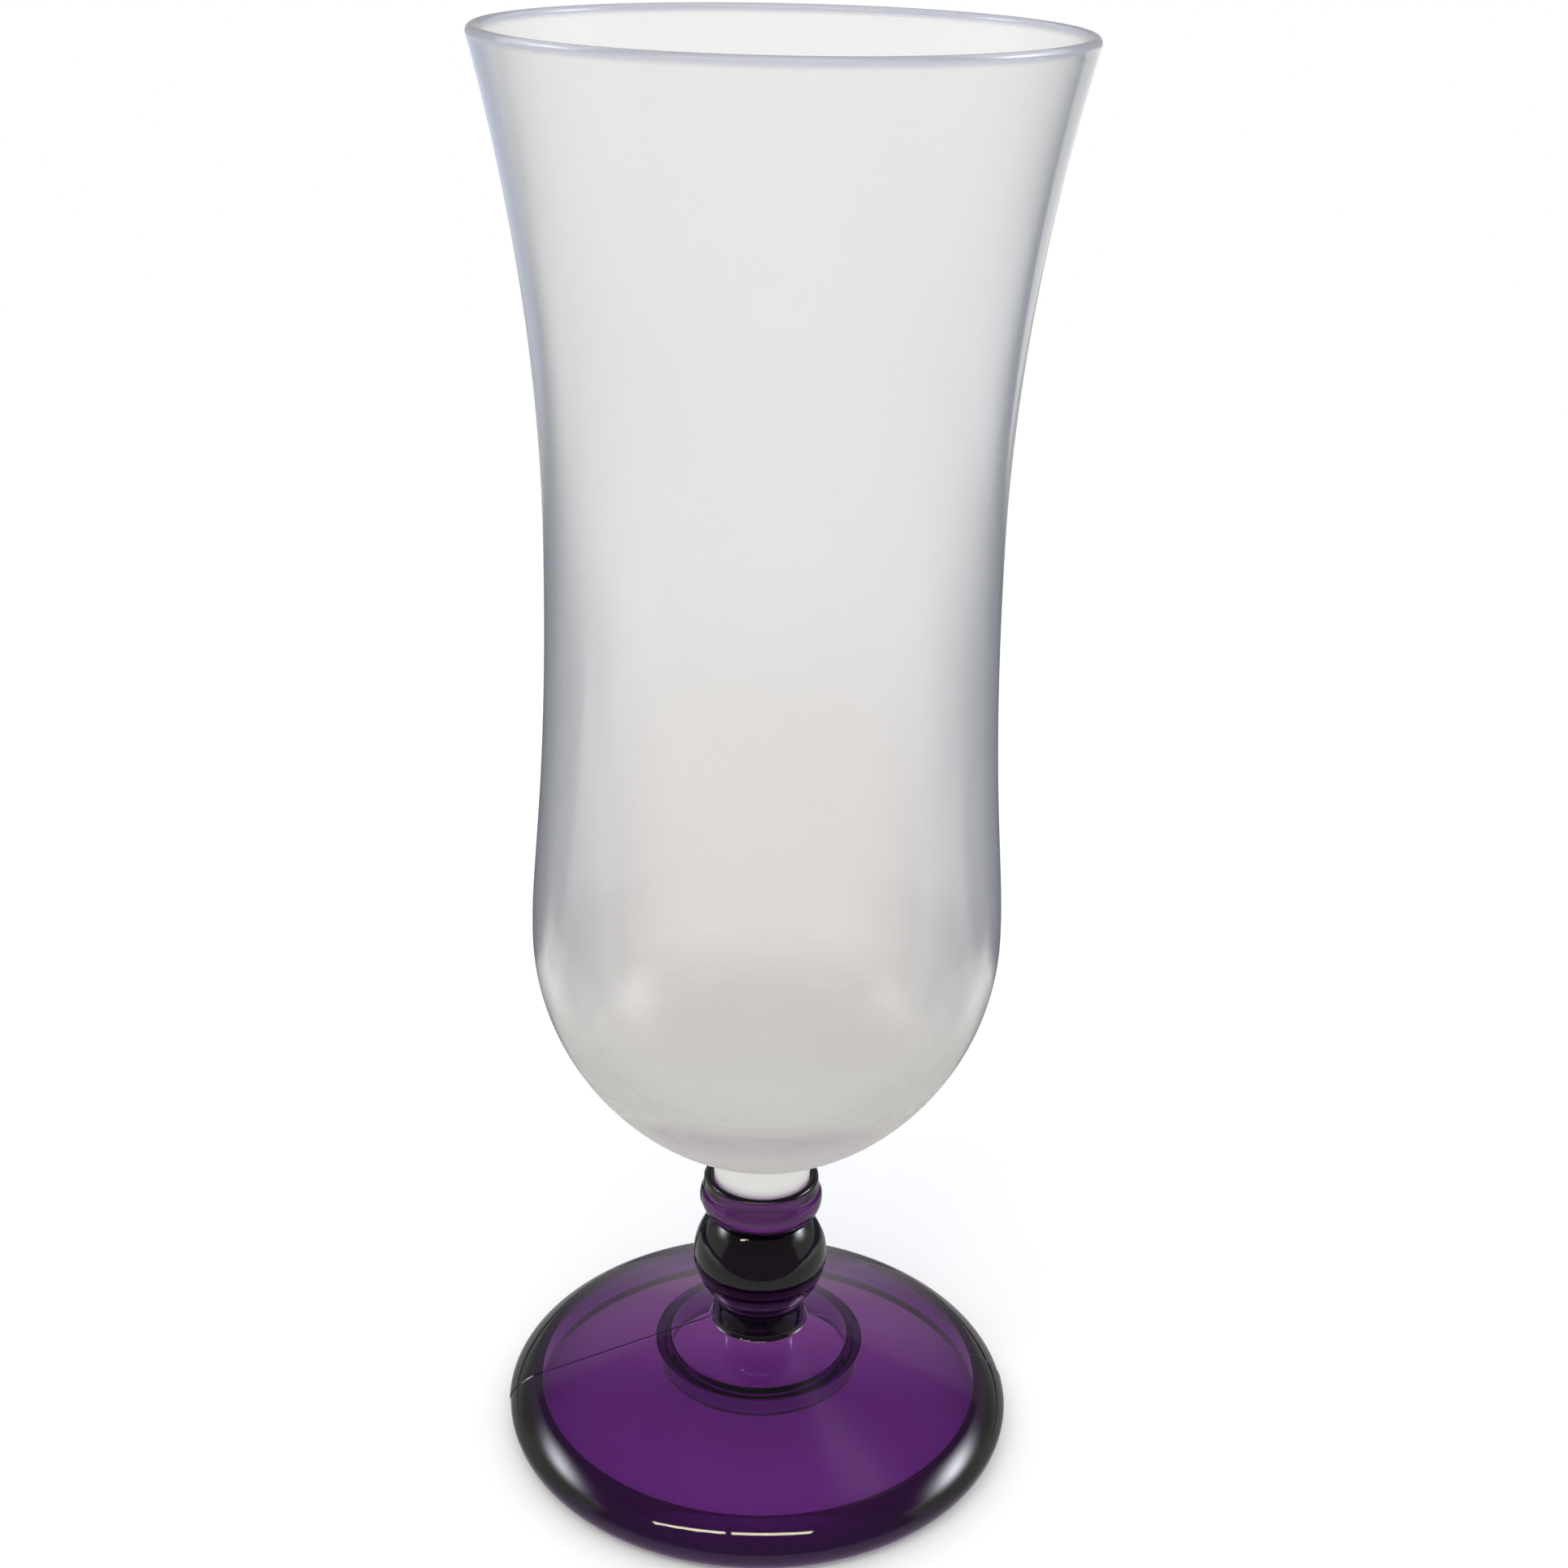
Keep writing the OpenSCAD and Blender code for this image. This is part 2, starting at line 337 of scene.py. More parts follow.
def foot_outline():
    """The foot from the axis over its underside and round its edge to the disc's top face."""
    pad_r = PAD_D / 2
    pad_end_h = under_at(pad_r) - PAD_DEPTH
    gate_end_h = pad_end_h - GATE_T
    rib_in_r = RIB_D / 2 - RIB_T
    rib_end_h = under_at(RIB_D / 2) - RIB_DEPTH
    ring_r = FOOT_D / 2 - EDGE_RING_W
    corner = (ring_r - HOLLOW_FILLET,
              under_at(ring_r - HOLLOW_FILLET) - HOLLOW_FILLET / math.cos(cone_angle))
    hollow_end = arc(corner, HOLLOW_FILLET, HOLLOW_FILLET, 90 - math.degrees(cone_angle), 0,
                     FILLET_STEPS)
    hollow = with_corners(
        [(0, gate_end_h), (GATE_D / 2, gate_end_h), (GATE_D / 2, pad_end_h), (pad_r, pad_end_h),
         (pad_r, under_at(pad_r)), (rib_in_r, under_at(rib_in_r)), (rib_in_r, rib_end_h),
         (RIB_D / 2, rib_end_h), (RIB_D / 2, under_at(RIB_D / 2)), hollow_end[0]],
        {1: GATE_R, 2: GATE_R, 3: PAD_EDGE_R, 4: PAD_ROOT_R, 5: RIB_ROOT_R, 6: MOULD_R,
         7: MOULD_R, 8: RIB_ROOT_R})
    rest_r = ring_r + RING_EDGE_R + REST_W
    roll = ROLL_CONE_SHARE * EDGE_ROUND_W
    return (hollow
            + arc((ring_r + RING_EDGE_R, RING_EDGE_R), RING_EDGE_R, RING_EDGE_R, 180, 270,
                  FILLET_STEPS)
            + arc((rest_r, edge_h), FOOT_D / 2 - rest_r, edge_h, -90, 0, CURVE_STEPS // 2)
            + curve((FOOT_D / 2, edge_h),
                    (FOOT_D / 2, edge_h + ROLL_SIDE_SHARE * (EDGE_TOP_H - edge_h)),
                    (edge_r + roll, EDGE_TOP_H - roll * cone_slope), (edge_r, EDGE_TOP_H),
                    CURVE_STEPS // 2))


def stem_outline():
    """The neck and the ball, up to the crease under the collar."""
    low_centre = (neck_foot_r + NECK_FILLET,
                  cone_at(neck_foot_r + NECK_FILLET) + NECK_FILLET / math.cos(cone_angle))
    ball_corner = (neck_r, CONE_TOP_H + NECK_L)
    fillet_from = (ball_corner[0], ball_corner[1] - BALL_FILLET)
    fillet_a = -math.degrees(math.acos((neck_r + BALL_FILLET) / ball_r))
    ball_side = arc((0, ball_h), ball_r, BALL_T / 2, fillet_a, math.degrees(ball_high_a),
                    BALL_STEPS)
    return (arc(low_centre, NECK_FILLET, NECK_FILLET, 270 - math.degrees(cone_angle), 180,
                FILLET_STEPS)
            + [fillet_from]
            + curve(fillet_from, ball_corner, ball_corner, ball_side[0], FILLET_STEPS)
            + ball_side[1:-1])


def collar_outline(last_of_ball):
    """The collar from the crease over its mouth, and its socket down to the axis."""
    overhang = COLLAR_UNDER_SHARE * (collar_belly_r - crease_r)
    under = COLLAR_UNDER_SHARE * COLLAR_BELLY_RISE
    side = COLLAR_SIDE_SHARE * COLLAR_BELLY_RISE
    low = curve((crease_r, crease_h), (crease_r + overhang, crease_h),
                (collar_belly_r, collar_belly_h - under), (collar_belly_r, collar_belly_h),
                CURVE_STEPS // 2)
    collar = (rounded(last_of_ball, (crease_r, crease_h), low[2], CREASE_R) + low[1:]
              + curve((collar_belly_r, collar_belly_h),
                      (collar_belly_r, collar_belly_h + side),
                      (mouth_r, mouth_h - MOUTH_WALL - side),
                      (mouth_r, mouth_h - MOUTH_WALL / 2), CURVE_STEPS // 2)
              + arc((socket_r + MOUTH_WALL / 2, mouth_h - MOUTH_WALL / 2), MOUTH_WALL / 2,
                    MOUTH_WALL / 2, 0, 180, 2 * FILLET_STEPS)[1:])
    socket = with_corners([collar[-1], (socket_r, socket_floor_h), (0, socket_floor_h)],
                          {1: MOULD_R})[1:]
    return collar + socket


def base_outline():
    """The base from the axis under the foot round the edge, up the stem and into the socket,
    and where along it the two halves of its mould met."""
    stem = stem_outline()
    points = spaced(foot_outline() + stem + collar_outline(stem[-3]))
    widest = max(range(len(points)), key=lambda i: points[i][0])
    top = max(range(len(points)), key=lambda i: points[i][1])
    shut = [1.0 if widest <= i <= top - FILLET_STEPS else 0.0 for i in range(len(points))]
    return points, shut


def outline_object(name, points, shut):
    """An outline as a line of points in metres, with its outward direction and mould line."""
    mesh = bpy.data.meshes.new(name)
    mesh.from_pydata([(r * MM, 0, z * MM) for r, z in points],
                     [(i, i + 1) for i in range(len(points) - 1)], [])
    mesh.attributes.new("outward", "FLOAT_VECTOR", "POINT")
    mesh.attributes.new("shut_line", "FLOAT", "POINT")
    outward, line = (mesh.attributes[key].data for key in ("outward", "shut_line"))
    for i, flag in enumerate(shut):
        before, after = points[max(i - 1, 0)], points[min(i + 1, len(points) - 1)]
        along = Vector((after[0] - before[0], after[1] - before[1])).normalized()
        outward[i].vector = (along.y, 0, -along.x)
        line[i].value = flag
    made = bpy.data.objects.new(name, mesh)
    bpy.context.scene.collection.objects.link(made)
    return made


# Turning, in Geometry Nodes

def turning_tree():
    """Turns an outline about Z, with the mould's parting line on its two sides."""
    tree = bpy.data.node_groups.new("turned_moulding", "GeometryNodeTree")
    tree.is_modifier = True
    face = tree.interface
    face.new_socket("Geometry", in_out="INPUT", socket_type="NodeSocketGeometry")
    for name, kind in (("Columns", "NodeSocketInt"), ("Parting Angle", "NodeSocketFloat"),
                       ("Mould Shift", "NodeSocketFloat"), ("Flash Height", "NodeSocketFloat"),
                       ("Flash Width", "NodeSocketFloat"), ("Material", "NodeSocketMaterial")):
        face.new_socket(name, in_out="INPUT", socket_type=kind)
    face.new_socket("Geometry", in_out="OUTPUT", socket_type="NodeSocketGeometry")
    given = tree.nodes.new("NodeGroupInput").outputs
    end = tree.nodes.new("NodeGroupOutput")
    outline = given["Geometry"]

    # A grid with a row for each point of the outline, and its columns once round
    rows = add(tree, "GeometryNodeAttributeDomainSize", {"Geometry": outline})
    columns = add(tree, MATH, (given["Columns"], 1.0), operation="ADD")
    grid = add(tree, "GeometryNodeMeshGrid",
               {"Size X": 1.0, "Size Y": 1.0, "Vertices X": columns, "Vertices Y": rows})
    place = add(tree, "GeometryNodeInputPosition")
    on_grid = add(tree, XYZ, (place,)).outputs
    turn = add(tree, MATH, (on_grid["X"], 0.5), operation="ADD")
    up = add(tree, MATH, (on_grid["Y"], 0.5), operation="ADD")
    last_row = add(tree, MATH, (rows, 1.0), operation="SUBTRACT")
    up_rows = add(tree, MATH, (up, last_row), operation="MULTIPLY")
    row = add(tree, MATH, (up_rows,), operation="ROUND")

    def on_outline(value, kind):
        """The outline's value at this row."""
        return add(tree, "GeometryNodeSampleIndex",
                   {"Geometry": outline, "Value": value, "Index": row},
                   data_type=kind, domain="POINT")

    point = add(tree, XYZ, (on_outline(place, "FLOAT_VECTOR"),)).outputs
    outward = add(tree, "GeometryNodeInputNamedAttribute", {"Name": "outward"},
                  data_type="FLOAT_VECTOR")
    away = add(tree, XYZ, (on_outline(outward, "FLOAT_VECTOR"),)).outputs
    line = add(tree, "GeometryNodeInputNamedAttribute", {"Name": "shut_line"},
               data_type="FLOAT")
    shut = on_outline(line, "FLOAT")

    # Columns gather near the two parting lines, where the flash needs them
    full = add(tree, MATH, (turn, 2 * math.pi), operation="MULTIPLY")
    twice = add(tree, MATH, (turn, 4 * math.pi), operation="MULTIPLY")
    wave = add(tree, MATH, (twice,), operation="SINE")
    gather = add(tree, MATH, (wave, GATHER), operation="MULTIPLY")
    from_line = add(tree, MATH, (full, gather), operation="SUBTRACT")
    angle = add(tree, MATH, (from_line, given["Parting Angle"]), operation="ADD")
    cosine = add(tree, MATH, (angle,), operation="COSINE")
    sine = add(tree, MATH, (angle,), operation="SINE")

    # Signed distance from the parting plane, then the flash and the rear half's shift
    radius = point["X"]
    line_sine = add(tree, MATH, (from_line,), operation="SINE")
    depth = add(tree, MATH, (radius, line_sine), operation="MULTIPLY")
    width = given["Flash Width"]
    off = add(tree, MATH, (depth,), operation="ABSOLUTE")
    share = add(tree, MATH, (off, width), operation="DIVIDE")
    ridge = add(tree, MATH, (1.0, share), operation="SUBTRACT", use_clamp=True)
    raised = add(tree, MATH, (ridge, given["Flash Height"]), operation="MULTIPLY")
    proud = add(tree, MATH, (raised, shut), operation="MULTIPLY")
    behind = add(tree, MATH, (width, -1.0), operation="MULTIPLY")
    rear = add(tree, RANGE, (depth, behind, width), **SMOOTH)
    stepped = add(tree, MATH, (rear, given["Mould Shift"]), operation="MULTIPLY")
    shift = add(tree, MATH, (stepped, shut), operation="MULTIPLY")

    proud_r = add(tree, MATH, (away["X"], proud), operation="MULTIPLY")
    proud_z = add(tree, MATH, (away["Z"], proud), operation="MULTIPLY")
    out_r = add(tree, MATH, (radius, proud_r), operation="ADD")
    out_z = add(tree, MATH, (point["Z"], proud_z), operation="ADD")
    round_x = add(tree, MATH, (out_r, cosine), operation="MULTIPLY")
    out_x = add(tree, MATH, (round_x, shift), operation="SUBTRACT")
    out_y = add(tree, MATH, (out_r, sine), operation="MULTIPLY")
    spot = add(tree, "ShaderNodeCombineXYZ", (out_x, out_y, out_z))
    moved = add(tree, "GeometryNodeSetPosition", {"Geometry": grid, "Position": spot})
    closed = add(tree, "GeometryNodeMergeByDistance", {"Geometry": moved, "Distance": JOINED})
    smooth = add(tree, "GeometryNodeSetShadeSmooth", {"Geometry": closed})
    real = add(tree, "GeometryNodeRealizeInstances", {"Geometry": smooth})
    dressed = add(tree, "GeometryNodeSetMaterial",
                  {"Geometry": real, "Material": given["Material"]})
    tree.links.new(dressed.outputs[0], end.inputs["Geometry"])
    return tree


def turned(name, outline, tree, body, node, slot, **inputs):
    """Turns an outline into the finished piece that stands for a CAD node."""
    source = outline_object(name + "_outline", *outline)
    modifier = source.modifiers.new("turning", "NODES")
    modifier.node_group = tree
    names = {item.name: item.identifier for item in tree.interface.items_tree
             if item.in_out == "INPUT"}
    for key, value in inputs.items():
        modifier[names[key.replace("_", " ").title()]] = value
    graph = bpy.context.evaluated_depsgraph_get()
    mesh = bpy.data.meshes.new_from_object(source.evaluated_get(graph), depsgraph=graph)
    mesh.name = name
    made = bpy.data.objects.new(name, mesh)
    bpy.context.scene.collection.objects.link(made)
    source.modifiers.remove(modifier)
    bpy.data.objects.remove(source)
    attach(made, body)
    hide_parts(node)
    return made


# Materials

# Sizes of the orange peel, the haze clouds and the flow waves, and the height of their relief
PEEL_SIZE = 3 * MM
CLOUD_SIZE = 25 * MM
WAVE_SIZE = 6 * MM
RIPPLE_DEPTH = 0.02 * MM
# Heights between which the bowl changes: its plug's end, its heavy bottom and its lip
TIP_Z = (41 * MM, 43 * MM)
BOTTOM_Z = (50 * MM, 70 * MM)
MILKY_Z = (58 * MM, 70 * MM)
LIP_Z = (201.5 * MM, 202.5 * MM)
# How much light goes straight through there, and what haze takes of it
TIP_CLEAR, BOTTOM_CLEAR, WALL_CLEAR = 0.9, 0.05, 0.84
LIP_HAZE = 0.35
CLOUD_HAZE = 0.05
# The middle of a noise's values, over which gloss varies
NOISE_SPAN = (0.3, 0.7)
BOWL_COLOUR = "#fdfdfd"
MILKY_COLOUR = "#fdf8f2"
LIP_PAINTED_REFLECTION_COLOUR = "#cfd2e0"
BASE_SURFACE_COLOUR = "#efe6ff"
DYE_COLOUR = "#cb39d2"


def new_material(name):
    """An empty node material and its output node."""
    made = bpy.data.materials.new(name)
    made.use_nodes = True
    made.node_tree.nodes.clear()
    return made, made.node_tree, made.node_tree.nodes.new("ShaderNodeOutputMaterial")


def moulded_polypropylene():
    """Clarified polypropylene, injection moulded: clear but a little milky, most where it is
    thick and cooled slowly, with a faint orange peel that softens what shows through it."""
    made, tree, out = new_material("moulded_polypropylene")
    where = add(tree, "ShaderNodeTexCoord").outputs["Object"]
    height = add(tree, XYZ, (where,)).outputs["Z"]
    peel = add(tree, NOISE, {"Vector": where, "Scale": 1 / PEEL_SIZE, "Detail": 1.0,
                             "Roughness": 0.4})
    cloud = add(tree, NOISE, {"Vector": where, "Scale": 1 / CLOUD_SIZE, "Detail": 2.0,
                              "Roughness": 0.5})
    bump = add(tree, "ShaderNodeBump",
               {"Height": peel, "Strength": 0.12, "Distance": RIPPLE_DEPTH})
    wall = add(tree, RANGE, (height, *BOTTOM_Z, BOTTOM_CLEAR, WALL_CLEAR), **SMOOTH)
    tip = add(tree, RANGE, (height, *TIP_Z, TIP_CLEAR, BOTTOM_CLEAR), **SMOOTH)
    milky = add(tree, RANGE, (height, *MILKY_Z, 1.0, 0.0), **SMOOTH)
    # The lip is painted a cool grey and made hazier: a painted reflection that stands in for the
    # cool line of light which the room's mirror doesn't give the rim. Its colour is matched to
    # that by eye, and whether the plastic or the room gives it isn't known
    lip = add(tree, RANGE, (height, *LIP_Z), **SMOOTH)
    clear = add(tree, MATH, (wall, tip), operation="MAXIMUM")
    clear = add(tree, MATH, (lip, -LIP_HAZE, clear), operation="MULTIPLY_ADD")
    haze = add(tree, MATH, (cloud, 0.5), operation="SUBTRACT")
    clear = add(tree, MATH, (haze, CLOUD_HAZE, clear), operation="MULTIPLY_ADD")
    gloss = add(tree, RANGE, (cloud, *NOISE_SPAN, 0.1, 0.14))
    gloss = add(tree, MATH, (milky, 0.25, gloss), operation="MULTIPLY_ADD")
    body = add(tree, MIX, {SHARE: milky, FIRST: linear(BOWL_COLOUR),
                           SECOND: linear(MILKY_COLOUR)}, **COLOURS)
    # The lip's painted reflection: a cool grey mixed into its colour
    colour = add(tree, MIX, {SHARE: lip, FIRST: body, SECOND: linear(LIP_PAINTED_REFLECTION_COLOUR)}, **COLOURS)
    shader = add(tree, "ShaderNodeBsdfPrincipled",
                 {"Base Color": colour, "IOR": 1.49, "Roughness": gloss,
                  "Transmission Weight": clear, "Subsurface Weight": milky,
                  "Subsurface Radius": (1.0, 1.0, 1.0), "Subsurface Scale": 1 * MM,
                  "Normal": bump})
    tree.links.new(shader.outputs[0], out.inputs["Surface"])
    return made


def moulded_polystyrene():
    """Crystal polystyrene dyed purple in the mass, injection moulded in a polished mould:
    glass-clear where it is thin, near black where it is thick."""
    made, tree, out = new_material("moulded_purple_polystyrene")
    where = add(tree, "ShaderNodeTexCoord").outputs["Object"]
    wave = add(tree, NOISE, {"Vector": where, "Scale": 1 / WAVE_SIZE, "Detail": 1.0,
                             "Roughness": 0.3})
    bump = add(tree, "ShaderNodeBump",
               {"Height": wave, "Strength": 0.1, "Distance": RIPPLE_DEPTH})
    gloss = add(tree, RANGE, (wave, *NOISE_SPAN, 0.015, 0.035))
    shader = add(tree, "ShaderNodeBsdfPrincipled",
                 {"Base Color": linear(BASE_SURFACE_COLOUR), "IOR": 1.59, "Roughness": gloss,
                  "Transmission Weight": 1.0, "Normal": bump})
    dye = add(tree, "ShaderNodeVolumeAbsorption",
              {"Color": linear(DYE_COLOUR), "Density": 900.0})
    tree.links.new(shader.outputs[0], out.inputs["Surface"])
    tree.links.new(dye.outputs[0], out.inputs["Volume"])
    return made


# Studio: what rays meet that the glass mirrored or let through
# A pair of numbers is where something starts and where it is full

WHITE = "#ffffff"
DAYLIGHT = 0.95                  # the plain level that the room gives every matt surface
# Floor
FLOOR_HALF = 2.0
FLOOR_DROP = 0.05 * MM           # keeps it clear of the foot's own face
PAPER_COLOUR = "#f1f3f8"
PAPER_FILL = 0.12                # lifts the paper to white for the camera alone
FLOOR_FADE = (0.2, 0.9)          # how far out it turns to plain white
# The floor seen straight through the glass: painted shade, warm and a little dim near by
NEAR_SHEET_PAINTED_SHADE_COLOUR = "#f3ece8"
NEAR_SHEET_FADE = (0.18, 0.45)
SHADE_FADE = (0.04, 0.1)         # where the foot's own shade ends, and just behind the stem
# Just behind the stem, painted light: a share of the plain tone is mixed into the paper seen
# through the foot
PAINTED_LIGHT_BEHIND, PAINTED_LIGHT_BEHIND_SHARE = (0.0, 0.03), 0.3
# A painted shade: a cool grey patch lies on the floor beyond a clear strip that opens out going
# back, seen only through the glass and in its mirror. No card is known to lie there: it is
# placed so that the bowl's sides show the shade measured on them
PAINTED_SHADE_COLOUR = "#9ea4b4"
PAINTED_SHADE_NEAR_COLOUR = "#4f5668"
PAINTED_SHADE_MIRROR_COLOUR = "#4c525f"
STRIP_HALF, STRIP_BEND = 0.028, 0.5
PAINTED_SHADE_SOFT_NEAR, PAINTED_SHADE_SOFT_SLOPE = 0.01, 0.1
PAINTED_SHADE_START = (0.06, 0.1)
PAINTED_SHADE_LIGHTENS = (0.14, 0.23)
PAINTED_SHADE_END, PAINTED_SHADE_MIRROR_END = (0.52, 0.32), (0.5, 0.4)
PAINTED_SHADE_SIDE_END = (0.85, 0.62)     # and to the sides, as a share of the way back
PAINTED_SHADE_SIDE_SKEW = 0.12            # by how much of that share it is further out on the right
PAINTED_SHADE_SIDE_NEAR = 0.02            # least way back that the share is taken of
# The floor in the glass's mirror: a sheet, and round it the table and the room's dark side
SHEET_COLOUR = "#f4f4f2"
SHEET_SHADE_COLOUR = "#b4b4b0"
SHEET_SHADE = (0.1, 0.24)
SHEET_RIGHT_X = 0.335
SHEET_LEFT_X, SHEET_LEFT_SLOPE = -0.37, -0.57    # its left edge where y = 0, and its run back
SHEET_FRONT_Y = -0.092
TABLE_BACK_Y, TABLE_BACK_SLOPE = 0.24, 0.75      # the table's end where x = 0, and its run right
TABLE_COLOUR = "#5a6374"
DARK_COLOUR = "#766c76"
FAR_RIGHT_COLOUR = "#ffffff"
FAR_RIGHT_X = (0.25, 0.3)
FAR_LEFT_COLOUR = "#d4dcf2"
FAR_LEFT_X, FAR_LEFT_Y = (-0.25, -0.35), (0.35, 0.55)
BACKDROP_FOOT_Y = (0.06, 0.2)
# The room in the glass's mirror, by height on a unit sphere and by how far it is ahead
BACKDROP_COLOUR = "#b2b2b0"
BACKDROP_DIM_COLOUR = "#8f8f8e"
WALL_COLOUR = "#bcbcb8"
CEILING_COLOUR = "#6a656c"
BACKDROP_DIMS_Z = (0.0, 0.2)
BACKDROP_AHEAD = (0.3, 0.6)
WALL_FOOT_Z = (-0.02, 0.02)
CEILING_Z = (0.5, 0.54)
DARK_AHEAD, DARK_Z = (-0.3, -0.42), (0.75, 0.7)
STRAIGHT_UP = 1e-4               # least level part of a direction, so that none is 0
# Windows and a bright patch of ceiling: azimuth (0 is away from the camera, 90 is right),
# elevation, how far each spreads across and up, all in degrees, and its level in the middle
WINDOWS = ((-78, 31, 9, 4.5, 9.0), (77, 30, 9, 5.0, 13.0), (49, 65, 6, 4.0, 0.35))
WINDOW_COLOUR = "#f4f7ff"
# Two fluorescent tubes over the table, by their ends
TUBES = (("tube_left", -1.107, -0.27), ("tube_right", -0.216, 0.54))
TUBE_Y, TUBE_Z, TUBE_W = -0.9, 1.42, 0.1
TUBE_AIM_Z = 0.03
TUBE_LEVEL = 14.0
TUBE_COLOUR = "#fff6d2"


def mirrored(tree, path):
    """1 for a ray that was mirrored by the glass on its way and met nothing matt, else 0."""
    mirrors = add(tree, MATH, (path.outputs["Glossy Depth"], 0.5), operation="GREATER_THAN")
    no_matt = add(tree, MATH, (path.outputs["Diffuse Depth"], 0.5), operation="LESS_THAN")
    both = add(tree, MATH, (mirrors, no_matt), operation="MULTIPLY")
    return add(tree, MATH, (both, path.outputs["Is Glossy Ray"]), operation="MULTIPLY")


def window_light(tree, azimuth, elevation, window):
    """A window's brightness in a direction, which falls off softly from its middle."""
    middle_azimuth, middle_elevation, spread_across, spread_up, level = window
    parts = []
    for angle, middle, spread in ((azimuth, middle_azimuth, spread_across),
                                  (elevation, middle_elevation, spread_up)):
        off = add(tree, MATH, (angle, math.radians(middle)), operation="SUBTRACT")
        share = add(tree, MATH, (off, math.radians(spread)), operation="DIVIDE")
        parts.append(add(tree, MATH, (share, share), operation="MULTIPLY"))
    far = add(tree, MATH, parts, operation="ADD")
    power = add(tree, MATH, (far, -0.5), operation="MULTIPLY")
    fall = add(tree, MATH, (power,), operation="EXPONENT")
    return add(tree, MATH, (fall, level), operation="MULTIPLY")


def mirrored_room(tree, x, y, z):
    """The colour of the backdrop, walls, ceiling and dark side in a direction."""
    squares = [add(tree, MATH, (part, part), operation="MULTIPLY") for part in (x, y)]
    flat = add(tree, MATH, (add(tree, MATH, squares, operation="ADD"),), operation="SQRT")
    flat = add(tree, MATH, (flat, STRAIGHT_UP), operation="MAXIMUM")
    ahead = add(tree, MATH, (y, flat), operation="DIVIDE")
    dims = add(tree, RANGE, (z, *BACKDROP_DIMS_Z), **SMOOTH)
    back = add(tree, MIX, {SHARE: dims, FIRST: linear(BACKDROP_COLOUR),
                           SECOND: linear(BACKDROP_DIM_COLOUR)}, **COLOURS)
    above = add(tree, RANGE, (z, *WALL_FOOT_Z), **SMOOTH)
    sides = add(tree, MIX, {SHARE: above, FIRST: linear(TABLE_COLOUR),
                            SECOND: linear(WALL_COLOUR)}, **COLOURS)
    behind_glass = add(tree, RANGE, (ahead, *BACKDROP_AHEAD), **SMOOTH)
    room = add(tree, MIX, {SHARE: behind_glass, FIRST: sides, SECOND: back}, **COLOURS)
    ceiling = add(tree, RANGE, (z, *CEILING_Z), **SMOOTH)
    room = add(tree, MIX, {SHARE: ceiling, FIRST: room, SECOND: linear(CEILING_COLOUR)},
               **COLOURS)
    toward_camera = add(tree, RANGE, (ahead, *DARK_AHEAD), **SMOOTH)
    below_ceiling = add(tree, RANGE, (z, *DARK_Z), **SMOOTH)
    dark = add(tree, MATH, (toward_camera, below_ceiling), operation="MULTIPLY")
    return add(tree, MIX, {SHARE: dark, FIRST: room, SECOND: linear(DARK_COLOUR)}, **COLOURS)


def studio_world():
    """Plain daylight on matt surfaces, white behind the glass, and a room in its mirror."""
    world = bpy.data.worlds.new("studio")
    bpy.context.scene.world = world
    world.use_nodes = True
    tree = world.node_tree
    tree.nodes.clear()
    out = tree.nodes.new("ShaderNodeOutputWorld")
    way = add(tree, "ShaderNodeTexCoord").outputs["Generated"]
    x, y, z = add(tree, XYZ, (way,)).outputs
    azimuth = add(tree, MATH, (x, y), operation="ARCTAN2")
    elevation = add(tree, MATH, (z,), operation="ARCSINE")
    level = 0.0
    for window in WINDOWS:
        light = window_light(tree, azimuth, elevation, window)
        level = add(tree, MATH, (level, light), operation="ADD")
    walls = add(tree, "ShaderNodeBackground",
                {"Color": mirrored_room(tree, x, y, z), "Strength": 1.0})
    windows = add(tree, "ShaderNodeBackground",
                  {"Color": linear(WINDOW_COLOUR), "Strength": level})
    mirror = add(tree, "ShaderNodeAddShader", (walls, windows))
    plain = add(tree, "ShaderNodeBackground", {"Color": linear(WHITE), "Strength": DAYLIGHT})
    white = add(tree, "ShaderNodeBackground", {"Color": linear(WHITE), "Strength": 1.0})
    # White for a ray from the camera, or one that only passed through the glass
    path = add(tree, "ShaderNodeLightPath")
    straight = add(tree, MATH, (path.outputs["Is Camera Ray"],
                                path.outputs["Is Transmission Ray"]), operation="MAXIMUM")
    seen = add(tree, "ShaderNodeMixShader", (straight, plain, white))
    final = add(tree, "ShaderNodeMixShader", (mirrored(tree, path), seen, mirror))
    tree.links.new(final.outputs[0], out.inputs["Surface"])


def on_painted_shade(tree, x, y):
    """1 on the patch of painted shade, 0 on the clear strip and in front of the patch."""
    square = add(tree, MATH, (y, y), operation="MULTIPLY")
    edge = add(tree, MATH, (square, STRIP_BEND, STRIP_HALF), operation="MULTIPLY_ADD")
    off = add(tree, MATH, (x,), operation="ABSOLUTE")
    past = add(tree, MATH, (off, edge), operation="SUBTRACT")
    soft = add(tree, MATH, (y, PAINTED_SHADE_SOFT_SLOPE, PAINTED_SHADE_SOFT_NEAR), operation="MULTIPLY_ADD")
    soft = add(tree, MATH, (PAINTED_SHADE_SOFT_NEAR, soft), operation="MAXIMUM")
    share = add(tree, MATH, (past, soft), operation="DIVIDE")
    started = add(tree, RANGE, (y, *PAINTED_SHADE_START), **SMOOTH)
    beyond = add(tree, RANGE, (share, -1.0, 1.0), **SMOOTH)
    return add(tree, MATH, (started, beyond), operation="MULTIPLY")


